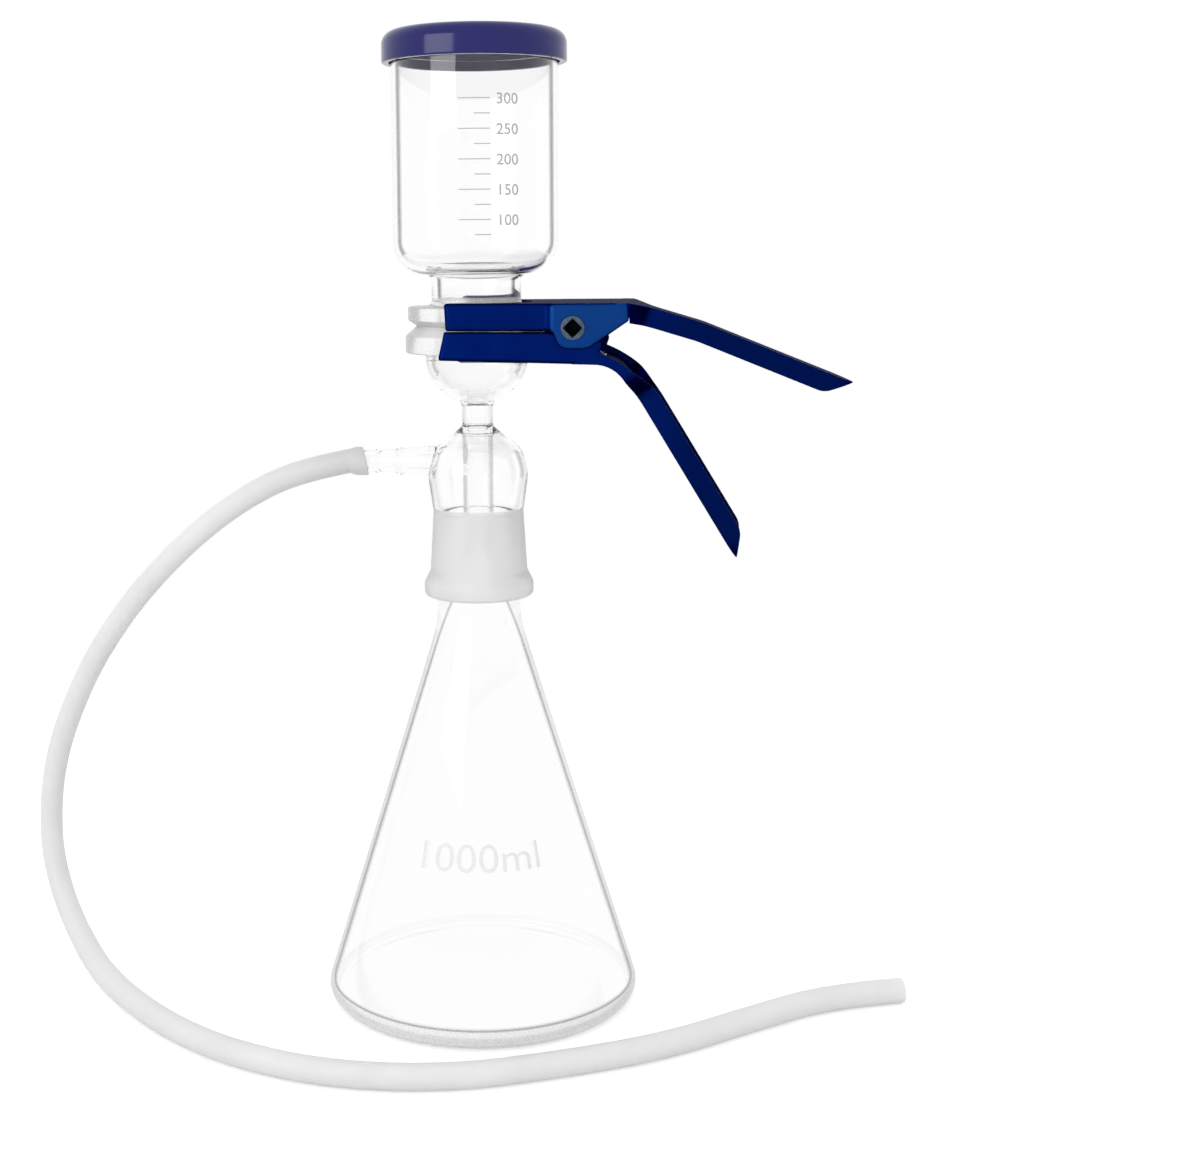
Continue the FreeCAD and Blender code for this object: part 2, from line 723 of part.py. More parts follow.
def make_clamp_rivet():
    seat = ear_half_width + rivet_gap
    ring_radius = rivet_radius + rivet_ring_width
    head_radius = rivet_radius + rivet_head_width
    near_end = -seat - rivet_ring_thickness
    profile = [
        (near_end, 0, 0),
        (near_end, ring_radius, 0.45),
        (-seat, ring_radius, 0.45),
        (-seat, rivet_radius, 0),
        (seat, rivet_radius, 0),
        (seat, head_radius, 0.3),
        (seat + rivet_head_height, head_radius * 0.55, 1.6),
        (seat + rivet_head_height, 0, 0),
    ]
    wire = rounded_wire(profile, lambda y, r: Vector(pivot_x + r, y, pivot_z))
    rivet = Part.Face(wire).revolve(Vector(pivot_x, 0, pivot_z), Vector(0, 1, 0), 360)
    half = rivet_socket_half_diagonal
    corners = [
        (pivot_x + half, pivot_z, rivet_socket_corner),
        (pivot_x, pivot_z + half, rivet_socket_corner),
        (pivot_x - half, pivot_z, rivet_socket_corner),
        (pivot_x, pivot_z - half, rivet_socket_corner),
    ]
    before = near_end - 1.0
    socket_wire = rounded_wire(corners, lambda x, z: Vector(x, before, z))
    socket = Part.Face(socket_wire).extrude(Vector(0, rivet_ring_thickness + 1.0, 0))
    hollow_depth = rivet_socket_depth + 1.0
    hollow = Part.makeCylinder(
        rivet_radius - rivet_wall, hollow_depth, Vector(pivot_x, before, pivot_z), Vector(0, 1, 0)
    )
    return rivet.cut(socket.fuse(hollow))


def make_clamp_spring():
    """Torsion spring round the rivet; its two legs push the jaws' webs apart behind the pivot."""
    coil_radius = rivet_radius + spring_gap + spring_wire_radius
    stand_off = spring_rest_gap + spring_wire_radius
    tilt = math.radians(jaw_tilt)
    lower_web = pivot_z + (lower_web_level() - pivot_z) / math.cos(tilt) - spring_leg_reach * math.tan(tilt)
    upper_end = (spring_leg_reach, upper_web_inner - stand_off - pivot_z)
    lower_end = (spring_leg_reach, lower_web + stand_off - pivot_z)
    upper_angle = tangent_angle(upper_end, coil_radius, 1)
    lower_angle = tangent_angle(lower_end, coil_radius, -1) + 2 * math.pi
    sweep = 2 * math.pi * spring_turns + lower_angle - upper_angle
    length = spring_pitch * sweep / (2 * math.pi)
    helix = Part.makeHelix(spring_pitch, length, coil_radius)
    heading = Vector(0, 2 * math.pi * coil_radius, spring_pitch)
    ring = Part.Wire(Part.Circle(Vector(coil_radius, 0, 0), heading, spring_wire_radius).toShape())
    coil = Part.Wire(helix.Edges).makePipeShell([ring], True, True)
    coil.rotate(Vector(0, 0, 0), Vector(0, 0, 1), math.degrees(upper_angle))
    coil.rotate(Vector(0, 0, 0), Vector(1, 0, 0), 90)
    coil.translate(Vector(pivot_x, length / 2, pivot_z))
    upper_leg = spring_leg(length / 2, coil_radius, upper_angle, upper_end)
    lower_leg = spring_leg(-length / 2, coil_radius, lower_angle, lower_end)
    return coil.fuse([upper_leg, lower_leg])


def tangent_angle(end, radius, side):
    """Angle round the pivot at which a line from end (x, z) touches a circle."""
    return math.atan2(end[1], end[0]) + side * math.acos(radius / math.hypot(end[0], end[1]))


def spring_leg(y, coil_radius, angle, end):
    """Straight leg with round ends, from the coil at an angle to end (x, z) beside the pivot."""
    start = Vector(pivot_x + coil_radius * math.cos(angle), y, pivot_z + coil_radius * math.sin(angle))
    line = Vector(pivot_x + end[0], y, pivot_z + end[1]) - start
    leg = Part.makeCylinder(spring_wire_radius, line.Length, start, line)
    joint = Part.makeSphere(spring_wire_radius, start)
    return leg.fuse([joint, Part.makeSphere(spring_wire_radius, start + line)])


# ---------------------------------------------------------------- hose

def hose_path():
    """Straight runs joined by tangent arcs; each arc is as large as its two runs allow."""
    points = [Vector(*point) for point in hose_route]
    edges = []
    radii = []
    here = points[0]
    for before, corner, after in zip(points, points[1:], points[2:]):
        incoming = (corner - before).normalize()
        outgoing = (after - corner).normalize()
        turn = math.acos(max(-1.0, min(1.0, incoming.dot(outgoing))))
        reach = 0.45 * min(corner.distanceToPoint(before), after.distanceToPoint(corner))
        radius = reach / math.tan(turn / 2)
        inward = (outgoing - incoming).normalize()
        arc_start = corner - incoming * reach
        arc_middle = corner + inward * (radius / math.cos(turn / 2) - radius)
        arc_end = corner + outgoing * reach
        edges.append(Part.LineSegment(here, arc_start).toShape())
        edges.append(Part.Arc(arc_start, arc_middle, arc_end).toShape())
        radii.append(radius)
        here = arc_end
    edges.append(Part.LineSegment(here, points[-1]).toShape())
    return Part.Wire(edges), radii


def swept_tube(path, radius):
    start = path.Edges[0]
    begin = start.valueAt(start.FirstParameter)
    ahead = start.tangentAt(start.FirstParameter)
    ring = Part.Wire(Part.Circle(begin, ahead, radius).toShape())
    return path.makePipeShell([ring], True, False)


def make_vacuum_hose():
    path, radii = hose_path()
    stretched_bore = arm_radius + ridge_swell + hose_stretch_gap
    stretched_radius = stretched_bore + hose_stretched_wall
    sleeve_end = hose_start + 1.2      # laps onto the tube, whose first run points downwards
    sleeve = turned_on_arm([
        (hose_mouth, 0, 0),
        (hose_mouth, stretched_radius, 0.4),
        (hose_start - hose_neck_length, stretched_radius, 2.0),
        (hose_start, hose_radius, 0),
        (sleeve_end, hose_radius, 0),
        (sleeve_end, 0, 0),
    ])
    room = turned_on_arm([
        (hose_mouth - 1.0, 0, 0),
        (hose_mouth - 1.0, stretched_bore, 0),
        (arm_end + 0.2, stretched_bore, 0),
        (hose_start, hose_bore_radius, 0),
        (sleeve_end, hose_bore_radius, 0),
        (sleeve_end, 0, 0),
    ])
    outside = swept_tube(path, hose_radius)
    inside = swept_tube(path, hose_bore_radius)
    tube_volume = outside.Volume - inside.Volume
    section = math.pi * (hose_radius ** 2 - hose_bore_radius ** 2)
    print("hose radii", " ".join("%.0f" % radius for radius in radii))
    print("hose tube length %.1f, volume over section times length %.4f"
          % (path.Length, tube_volume / (section * path.Length)))
    return sleeve.fuse(outside).cut(room.fuse(inside))


# ---------------------------------------------------------------- output

def save(name, shape):
    if shape.ShapeType != "Solid" and len(shape.Solids) == 1:
        shape = shape.Solids[0]
    print("%-16s solids %d valid %s volume %.0f" % (name, len(shape.Solids), shape.isValid(), shape.Volume))
    shape.exportStep("parts/" + name + ".step")


def main():
    os.makedirs("parts", exist_ok=True)
    save("flask", make_flask())
    save("filter_base", make_filter_base())
    save("fritted_disc", make_fritted_disc())
    save("funnel", make_funnel())
    save("funnel_lid", make_funnel_lid())
    save("clamp_upper_jaw", make_clamp_upper_jaw())
    save("clamp_lower_jaw", make_clamp_lower_jaw())
    save("clamp_rivet", make_clamp_rivet())
    save("clamp_spring", make_clamp_spring())
    save("vacuum_hose", make_vacuum_hose())


main()
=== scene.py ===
import math

import bmesh
import bpy
from mathutils import Matrix, Vector


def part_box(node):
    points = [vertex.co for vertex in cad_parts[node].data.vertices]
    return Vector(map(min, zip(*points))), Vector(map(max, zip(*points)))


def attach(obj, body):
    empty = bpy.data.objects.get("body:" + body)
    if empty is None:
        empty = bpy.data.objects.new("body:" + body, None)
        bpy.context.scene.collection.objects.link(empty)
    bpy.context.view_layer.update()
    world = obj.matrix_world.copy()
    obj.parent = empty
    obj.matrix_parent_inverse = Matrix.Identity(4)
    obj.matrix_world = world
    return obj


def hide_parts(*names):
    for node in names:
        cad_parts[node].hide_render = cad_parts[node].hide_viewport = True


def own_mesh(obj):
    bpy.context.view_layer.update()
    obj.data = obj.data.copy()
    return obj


# Glass vacuum filtration unit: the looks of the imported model. Shapes are written in millimetres
# and scaled by MM; materials, lamps and the camera are in metres.

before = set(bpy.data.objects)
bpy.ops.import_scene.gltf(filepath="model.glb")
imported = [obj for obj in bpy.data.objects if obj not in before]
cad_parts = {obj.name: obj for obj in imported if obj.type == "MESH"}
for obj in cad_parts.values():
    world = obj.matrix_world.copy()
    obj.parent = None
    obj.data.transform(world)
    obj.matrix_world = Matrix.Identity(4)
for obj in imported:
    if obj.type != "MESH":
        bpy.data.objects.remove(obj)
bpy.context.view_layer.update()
MM = 0.001
TURN = 192                          # steps round a lathed piece
SMALL_TURN = 96                     # steps round a small or plain one
SHARP = 38.0                        # degrees; an edge that turns further stays sharp
WELD = 1e-7                         # metres; points nearer than this are one
ON_AXIS = 1e-6                      # millimetres; a profile point nearer the axis is on it


# ---------------------------------------------------------------- shape helpers

def rounded(corners, closed, steps=7):
    """Profile points (r, z, corner number) from corners (r, z, fillet), each fillet an arc of
    about so many steps a quarter turn."""
    count = len(corners)
    points = []
    for i, corner in enumerate(corners):
        here = Vector(corner[:2])
        fillet = corner[2]
        loose_end = not closed and i in (0, count - 1)
        if loose_end or fillet <= 0:
            points.append((here.x, here.y, i))
            continue
        back = (Vector(corners[i - 1][:2]) - here).normalized()
        ahead = (Vector(corners[(i + 1) % count][:2]) - here).normalized()
        half = back.angle(ahead) / 2
        centre = here + (back + ahead).normalized() * (fillet / math.sin(half))
        start = here + back * (fillet / math.tan(half)) - centre
        end = here + ahead * (fillet / math.tan(half)) - centre
        sweep = start.angle_signed(end)
        arc_steps = max(2, int(steps * abs(sweep) / (math.pi / 2)) + 1)
        for k in range(arc_steps + 1):
            turned = Matrix.Rotation(-sweep * k / arc_steps, 2) @ start
            place = centre + turned
            points.append((place.x, place.y, i))
    return points


def lathe(name, points, closed, material, inside_from=None, turn=TURN):
    """Closed surface of revolution about Z; a profile that isn't closed ends on the axis.
    Faces from corner number inside_from on are marked as the glass's inner side."""
    mesh = bmesh.new()
    mark = mesh.faces.layers.float.new("inner_side")
    rings = []
    for r, z, corner in points:
        if r < ON_AXIS:
            rings.append([mesh.verts.new((0, 0, z * MM))])
            continue
        angles = [2 * math.pi * k / turn for k in range(turn)]
        rings.append([
            mesh.verts.new((r * MM * math.cos(a), r * MM * math.sin(a), z * MM)) for a in angles
        ])
    spans = len(rings) if closed else len(rings) - 1
    for i in range(spans):
        a = rings[i]
        b = rings[(i + 1) % len(rings)]
        inner = float(inside_from is not None and points[i][2] >= inside_from)
        for k in range(turn):
            m = (k + 1) % turn
            if len(a) == 1:
                face = mesh.faces.new((a[0], b[k], b[m]))
            elif len(b) == 1:
                face = mesh.faces.new((a[k], a[m], b[0]))
            else:
                face = mesh.faces.new((a[k], a[m], b[m], b[k]))
            face[mark] = inner
    return finished(name, mesh, material)


def finished(name, mesh, material, sharp=SHARP):
    """Object from a bmesh, smooth but for its sharp edges."""
    bmesh.ops.remove_doubles(mesh, verts=mesh.verts, dist=WELD)
    bmesh.ops.recalc_face_normals(mesh, faces=mesh.faces)
    for face in mesh.faces:
        face.smooth = True
    data = bpy.data.meshes.new(name)
    mesh.to_mesh(data)
    mesh.free()
    data.set_sharp_from_angle(angle=math.radians(sharp))
    data.materials.append(material)
    piece = bpy.data.objects.new(name, data)
    bpy.context.scene.collection.objects.link(piece)
    return piece


def combine(piece, tool, operation):
    """Exact boolean of piece with tool, applied; the tool is removed."""
    modifier = piece.modifiers.new("cut", "BOOLEAN")
    modifier.operation = operation
    modifier.object = tool
    modifier.solver = "EXACT"
    bpy.context.view_layer.update()
    graph = bpy.context.evaluated_depsgraph_get()
    data = bpy.data.meshes.new_from_object(piece.evaluated_get(graph))
    piece.modifiers.clear()
    piece.data = data
    bpy.data.objects.remove(tool)
    for polygon in data.polygons:
        polygon.use_smooth = True
    data.set_sharp_from_angle(angle=math.radians(SHARP))


# ---------------------------------------------------------------- materials

def grey(value):
    return (value, value, value)


def new_material(name):
    """Material with a Principled shader on its surface, its node tree and that shader."""
    material = bpy.data.materials.new(name)
    material.use_nodes = True
    tree = material.node_tree
    tree.nodes.clear()
    output = tree.nodes.new("ShaderNodeOutputMaterial")
    shader = tree.nodes.new("ShaderNodeBsdfPrincipled")
    tree.links.new(shader.outputs[0], output.inputs["Surface"])
    return material, tree, shader


def noise(tree, scale, detail=3.0, stretch=None):
    coords = tree.nodes.new("ShaderNodeTexCoord")
    texture = tree.nodes.new("ShaderNodeTexNoise")
    texture.inputs["Scale"].default_value = scale
    texture.inputs["Detail"].default_value = detail
    place = coords.outputs["Object"]
    if stretch:
        mapping = tree.nodes.new("ShaderNodeMapping")
        mapping.inputs["Scale"].default_value = stretch
        tree.links.new(place, mapping.inputs["Vector"])
        place = mapping.outputs["Vector"]
    tree.links.new(place, texture.inputs["Vector"])
    return texture.outputs["Fac"]


def spread(tree, value, low, high, from_low=0.3, from_high=0.7):
    """Map a value to a range of numbers; from_low and from_high suit a noise texture."""
    node = tree.nodes.new("ShaderNodeMapRange")
    node.inputs["From Min"].default_value = from_low
    node.inputs["From Max"].default_value = from_high
    node.inputs["To Min"].default_value = low
    node.inputs["To Max"].default_value = high
    tree.links.new(value, node.inputs["Value"])
    return node.outputs["Result"]


def rising(tree, value, start, end):
    """0 up to start, 1 from end on."""
    return spread(tree, value, 0.0, 1.0, start, end)


def falling(tree, value, start, end):
    """1 up to start, 0 from end on."""
    return spread(tree, value, 1.0, 0.0, start, end)


def tinted(tree, value, low, high, start=0.3, end=0.7):
    """Colour ramp along a value; start and end suit a noise texture."""
    node = tree.nodes.new("ShaderNodeValToRGB")
    for element, place, colour in zip(node.color_ramp.elements, (start, end), (low, high)):
        element.position = place
        element.color = (*colour, 1)
    tree.links.new(value, node.inputs["Fac"])
    return node.outputs["Color"]


def bump(tree, shader, value, strength, distance):
    node = tree.nodes.new("ShaderNodeBump")
    node.inputs["Strength"].default_value = strength
    node.inputs["Distance"].default_value = distance
    tree.links.new(value, node.inputs["Height"])
    tree.links.new(node.outputs["Normal"], shader.inputs["Normal"])


def math_node(tree, operation, *values):
    node = tree.nodes.new("ShaderNodeMath")
    node.operation = operation
    for socket, value in zip(node.inputs, values):
        if isinstance(value, (int, float)):
            socket.default_value = value
        else:
            tree.links.new(value, socket)
    return node.outputs[0]


def product(tree, *values):
    total = values[0]
    for value in values[1:]:
        total = math_node(tree, "MULTIPLY", total, value)
    return total


def mixed(tree, factor, first, second):
    """Colour between two colours."""
    node = tree.nodes.new("ShaderNodeMix")
    node.data_type = "RGBA"
    tree.links.new(factor, node.inputs["Factor"])
    for socket, value in ((node.inputs["A"], first), (node.inputs["B"], second)):
        if isinstance(value, tuple):
            socket.default_value = (*value, 1)
        else:
            tree.links.new(value, socket)
    return node.outputs["Result"]


def blended(tree, factor, first, second):
    """Number between two numbers."""
    node = tree.nodes.new("ShaderNodeMix")
    for socket, value in zip(("Factor", "A", "B"), (factor, first, second)):
        if isinstance(value, float):
            node.inputs[socket].default_value = value
        else:
            tree.links.new(value, node.inputs[socket])
    return node.outputs["Result"]


def split_up(tree, vector):
    node = tree.nodes.new("ShaderNodeSeparateXYZ")
    tree.links.new(vector, node.inputs[0])
    return node.outputs


def object_place(tree):
    """X, Y and Z on the object."""
    return split_up(tree, tree.nodes.new("ShaderNodeTexCoord").outputs["Object"])


def faces_along(tree, axis):
    """How squarely the surface faces along an axis or against it, 0 to 1."""
    geometry = tree.nodes.new("ShaderNodeNewGeometry")
    return math_node(tree, "ABSOLUTE", split_up(tree, geometry.outputs["Normal"])[axis])


def height_and_radius(tree):
    """Height and distance from the Z axis."""
    place = object_place(tree)
    squares = [math_node(tree, "MULTIPLY", place[axis], place[axis]) for axis in "XY"]
    return place["Z"], math_node(tree, "SQRT", math_node(tree, "ADD", *squares))


def ring_zone(tree, height, radius, low, high, inner):
    """1 between two heights and outside a radius, in metres, with soft edges."""
    soft_height, soft_radius = 0.0004, 0.0002
    above = rising(tree, height, low - soft_height, low + soft_height)
    below = falling(tree, height, high - soft_height, high + soft_height)
    return product(tree, above, below, rising(tree, radius, inner, inner + soft_radius))


def edge_distance(tree, radius):
    """Metres from the outline of a round wall, from how far the wall is turned away; a level
    surface counts as far from it."""
    level_counts_as = 0.05
    weight = tree.nodes.new("ShaderNodeLayerWeight")
    weight.inputs["Blend"].default_value = 0.5
    cosine = math_node(tree, "SUBTRACT", 1.0, weight.outputs["Facing"])
    share = math_node(tree, "SUBTRACT", 1.0, math_node(tree, "MULTIPLY", cosine, cosine))
    kept = math_node(tree, "SQRT", math_node(tree, "MAXIMUM", share, 0.0))
    distance = math_node(tree, "MULTIPLY", radius, math_node(tree, "SUBTRACT", 1.0, kept))
    level = rising(tree, faces_along(tree, "Z"), 0.5, 0.85)
    return math_node(tree, "ADD", distance, math_node(tree, "MULTIPLY", level, level_counts_as))


def heel_masks(tree, height, radius, edge, heel_line):
    """Where a conical flask gets a painted grey band of shade, along its outline and heel, and the
    painted dark line that ends the band inwards: two masks, both from the depth inside that line."""
    foot_radius, slope, corner = 0.0719, 0.3168, 0.006
    neck_start, neck_end, neck_share = 0.160, 0.180, 0.3
    narrowing = math_node(tree, "MULTIPLY", height, slope)
    line_radius = math_node(tree, "SUBTRACT", foot_radius, narrowing)
    from_side = math_node(tree, "SUBTRACT", line_radius, math_node(tree, "SUBTRACT", radius, edge))
    from_heel = math_node(tree, "SUBTRACT", height, heel_line)
    depth = math_node(tree, "SMOOTH_MIN", from_side, from_heel, corner)
    heel_band_shade = product(tree, falling(tree, depth, 0.0009, 0.0013),
                    spread(tree, height, 1.0, neck_share, neck_start, neck_end))
    return heel_band_shade, falling(tree, math_node(tree, "ABSOLUTE", depth), 0.0002, 0.0007)


def painted_edge_shade(tree, radius, edge, inside, outside, line_width, line_tint, wall_tint):
    """Painted shade on glass: grey close to its outline, on a wall's outer side and more on its
    inner.
    """
    wide_enough = rising(tree, radius, 0.0055, 0.0072)
    line = product(tree, inside, wide_enough, falling(tree, edge, line_width * 0.5, line_width))
    wall = product(tree, outside, falling(tree, edge, 0.0008, 0.0024))
    return mixed(tree, line, mixed(tree, wall, grey(0.995), grey(wall_tint)), grey(line_tint))


def laid_over(tree, mask, look, colour, roughness, clear):
    """A look is a colour, a roughness and the share let through; another is laid over it."""
    return (mixed(tree, mask, look[0], colour), blended(tree, mask, look[1], roughness),
            blended(tree, mask, look[2], clear))


def make_glass(name, ground=(), hazy=(), line_width=0.0024, line_tint=0.02,
               wall_tint=0.60, heel_line=None):
    """Clear glass with painted shade, grey where a wall is seen edge-on, most of all on its inner
    side. A ground or hazy zone is (low, high, inner radius) and matt where it is seen from
    outside; heel_line is where a conical flask's heel starts."""
    material, tree, shader = new_material(name)
    shader.inputs["IOR"].default_value = 1.47
    height, radius = height_and_radius(tree)
    edge = edge_distance(tree, radius)
    side = tree.nodes.new("ShaderNodeAttribute")
    side.attribute_name = "inner_side"
    inside = side.outputs["Fac"]
    outside = math_node(tree, "SUBTRACT", 1.0, inside)
    geometry = tree.nodes.new("ShaderNodeNewGeometry")
    front = math_node(tree, "SUBTRACT", 1.0, geometry.outputs["Backfacing"])
    relief = math_node(tree, "MULTIPLY", noise(tree, 30.0, 1.0, (1, 1, 0.25)), 0.24)
    grain = noise(tree, 2600.0, 2.0)
    if heel_line:
        colour = tinted(tree, noise(tree, 40.0), grey(0.993), grey(0.997))
    else:
        # painted shade along the glass's outline, darkest on a wall's inner side
        colour = painted_edge_shade(tree, radius, edge, inside, outside, line_width, line_tint, wall_tint)
    look = (colour, spread(tree, noise(tree, 40.0), 0.0, 0.012), 1.0)
    # the flask's near side gets a painted grey band of shade along its outline and heel, and a
    # painted dark line where the band ends
    if heel_line:
        near = product(tree, front, outside)
        heel_band_shade, line = heel_masks(tree, height, radius, edge, heel_line)
        look = laid_over(tree, product(tree, near, heel_band_shade), look,
                         grey(0.88), spread(tree, grain, 0.25, 0.32), 0.3)
        look = (mixed(tree, product(tree, near, line), look[0], grey(0.40)), *look[1:])
    if ground:
        matt = 0.0
        for zone in ground:
            matt = math_node(tree, "MAXIMUM", matt, ring_zone(tree, height, radius, *zone))
        matt = product(tree, matt, front)
        frost = tinted(tree, grain, grey(0.72), grey(0.76))
        look = laid_over(tree, matt, look, frost, spread(tree, grain, 0.38, 0.5), 0.3)
        relief = blended(tree, matt, relief, grain)
    for zone in hazy:
        haze = product(tree, ring_zone(tree, height, radius, *zone), front)
        look = laid_over(tree, haze, look, grey(0.90), spread(tree, grain, 0.2, 0.3), 0.5)
    for socket, value in zip(("Base Color", "Roughness", "Transmission Weight"), look):
        tree.links.new(value, shader.inputs[socket])
    bump(tree, shader, relief, 0.25, 0.0001)
    absorb = tree.nodes.new("ShaderNodeVolumeAbsorption")
    absorb.inputs["Color"].default_value = (0.0, 0.0, 0.0, 1)
    absorb.inputs["Density"].default_value = 1.0
    output = shader.outputs[0].links[0].to_node
    tree.links.new(absorb.outputs[0], output.inputs["Volume"])
    return material


def make_frit(name):
    """Sintered glass grains."""
    material, tree, shader = new_material(name)
    coords = tree.nodes.new("ShaderNodeTexCoord")
    cells = tree.nodes.new("ShaderNodeTexVoronoi")
    cells.inputs["Scale"].default_value = 3200.0
    tree.links.new(coords.outputs["Object"], cells.inputs["Vector"])
    grains = cells.outputs["Distance"]
    tree.links.new(tinted(tree, grains, (0.93, 0.93, 0.92), (0.82, 0.82, 0.81), 0.0, 0.7),
                   shader.inputs["Base Color"])
    shader.inputs["Roughness"].default_value = 0.75
    shader.inputs["Subsurface Weight"].default_value = 0.3
    shader.inputs["Subsurface Scale"].default_value = 0.002
    bump(tree, shader, grains, 0.5, 0.0002)
    return material


def make_lid_plastic(name):
    """Glossy dark violet-blue moulding."""
    material, tree, shader = new_material(name)
    shader.inputs["IOR"].default_value = 1.43
    cloud = noise(tree, 25.0)
    tree.links.new(tinted(tree, cloud, (0.0022, 0.0020, 0.098), (0.0034, 0.0030, 0.114)),
                   shader.inputs["Base Color"])
    tree.links.new(spread(tree, noise(tree, 300.0), 0.10, 0.17), shader.inputs["Roughness"])
    bump(tree, shader, noise(tree, 700.0, 1.0), 0.03, 0.0002)
    return material


def make_anodised(name, ear_side):
    """Blue anodised sheet: satin, with painted shade on the handles and along its edges, and
    painted light where the ears stand proud, further from the middle plane than ear_side."""
    material, tree, shader = new_material(name)
    shader.inputs["Metallic"].default_value = 1.0
    shader.inputs["Specular Tint"].default_value = (0.01, 0.03, 0.16, 1)
    base = tinted(tree, noise(tree, 60.0), (0.0003, 0.0085, 0.108), (0.0008, 0.0112, 0.128))
    place = object_place(tree)
    # painted light: the ears, standing proud, are painted a lighter blue
    painted_ear_light = rising(tree, math_node(tree, "ABSOLUTE", place["Y"]), ear_side, ear_side + 0.0006)
    base = mixed(tree, painted_ear_light, base, (0.0050, 0.042, 0.205))
    # painted shade: the handles are painted darker than the jaws
    base = mixed(tree, rising(tree, place["X"], 0.070, 0.095), base, (0.0004, 0.0066, 0.072))
    geometry = tree.nodes.new("ShaderNodeNewGeometry")
    # painted shade along the sheet's edges, left off the flat sides
    edge = spread(tree, geometry.outputs["Pointiness"], 0.0, 0.6, 0.53, 0.60)
    edge = product(tree, edge, falling(tree, faces_along(tree, "Y"), 0.90, 0.98))
    tree.links.new(mixed(tree, edge, base, (0.0005, 0.0030, 0.030)), shader.inputs["Base Color"])
    tree.links.new(spread(tree, noise(tree, 900.0), 0.34, 0.44), shader.inputs["Roughness"])
    bump(tree, shader, noise(tree, 1800.0, 2.0), 0.06, 0.0001)
    return material


def make_spring_steel(name):
    """Bright zinc on wire."""
    material, tree, shader = new_material(name)
    shader.inputs["Metallic"].default_value = 1.0
    streaks = noise(tree, 500.0, 3.0, (1, 8, 1))
    tree.links.new(tinted(tree, streaks, (0.45, 0.45, 0.46), (0.60, 0.60, 0.61)),
                   shader.inputs["Base Color"])
    tree.links.new(spread(tree, streaks, 0.25, 0.37), shader.inputs["Roughness"])
    bump(tree, shader, streaks, 0.1, 0.0001)
    return material


def make_rivet_steel(name, axis_x, axis_z, socket):
    """Darkened steel; the square socket in its near end is painted black, as the shade in its
    recess.
    """
    material, tree, shader = new_material(name)
    shader.inputs["Metallic"].default_value = 1.0
    shader.inputs["Specular Tint"].default_value = (0.2, 0.25, 0.3, 1)
    streaks = noise(tree, 700.0, 3.0, (1, 6, 1))
    base = tinted(tree, streaks, (0.060, 0.085, 0.125), (0.095, 0.125, 0.170))
    place = object_place(tree)
    # painted shade: a square on the near end, painted near black for the socket's recess
    across = math_node(tree, "ABSOLUTE", math_node(tree, "SUBTRACT", place["X"], axis_x))
    upward = math_node(tree, "ABSOLUTE", math_node(tree, "SUBTRACT", place["Z"], axis_z))
    square = falling(tree, math_node(tree, "ADD", across, upward), socket, socket + 0.0002)
    socket_shade = product(tree, square, falling(tree, place["Y"], -0.001, 0.001))
    tree.links.new(mixed(tree, socket_shade, base, (0.0015, 0.003, 0.003)), shader.inputs["Base Color"])
    tree.links.new(spread(tree, streaks, 0.30, 0.42), shader.inputs["Roughness"])
    bump(tree, shader, streaks, 0.1, 0.0001)
    return material


def make_silicone(name):
    """Milky translucent tube, with painted shade near and over the arm."""
    material, tree, shader = new_material(name)
    milk = tinted(tree, noise(tree, 35.0), grey(0.76), grey(0.81))
    height, radius = height_and_radius(tree)
    # painted shade: the hose is painted darker near and over the arm
    painted_shade_over_arm = product(tree, falling(tree, radius, 0.060, 0.125), rising(tree, height, 0.15, 0.20))
    tree.links.new(mixed(tree, painted_shade_over_arm, milk, grey(0.62)), shader.inputs["Base Color"])
    shader.inputs["IOR"].default_value = 1.41
    shader.inputs["Subsurface Weight"].default_value = 0.7
    shader.inputs["Subsurface Radius"].default_value = (1, 1, 1)
    shader.inputs["Subsurface Scale"].default_value = 0.003
    tree.links.new(spread(tree, noise(tree, 220.0), 0.40, 0.52), shader.inputs["Roughness"])
    bump(tree, shader, noise(tree, 900.0, 1.0), 0.05, 0.0002)
    return material


def make_ink(name, low, high):
    """Printed enamel."""
    material, tree, shader = new_material(name)
    speck = noise(tree, 1500.0, 2.0)
    tree.links.new(tinted(tree, speck, grey(low), grey(high)), shader.inputs["Base Color"])
    tree.links.new(spread(tree, speck, 0.5, 0.65), shader.inputs["Roughness"])
    return material


joint_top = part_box("flask")[1].z
joint_foot = joint_top - 35.0 * MM
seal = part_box("funnel")[0].z                   # the plane where funnel and base meet
flask_glass = make_glass("flask_glass", heel_line=0.0092)
base_skirt = (joint_foot - 0.004, joint_top + 0.0025, 0.0202)
base_rim = (seal - 0.0047, seal + 0.001, 0.0205)
base_flange = (seal - 0.0130, seal - 0.0047, 0.0290)
base_glass = make_glass("base_glass", [base_skirt, base_rim], [base_flange], line_tint=0.25)
funnel_rim = (seal - 0.001, seal + 0.0024, 0.0178)
funnel_flange = (seal + 0.0024, seal + 0.0125, 0.0188)
funnel_glass = make_glass("funnel_glass", [funnel_rim], [funnel_flange], wall_tint=0.9)
frit = make_frit("fritted_glass")
lid_plastic = make_lid_plastic("lid_plastic")
anodised = make_anodised("anodised_sheet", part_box("clamp_upper_jaw")[1].y - 0.0010)
rivet_low, rivet_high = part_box("clamp_rivet")
rivet_steel = make_rivet_steel("steel_rivet", (rivet_low.x + rivet_high.x) / 2,
                               (rivet_low.z + rivet_high.z) / 2, 0.0042)
spring_steel = make_spring_steel("steel_spring")
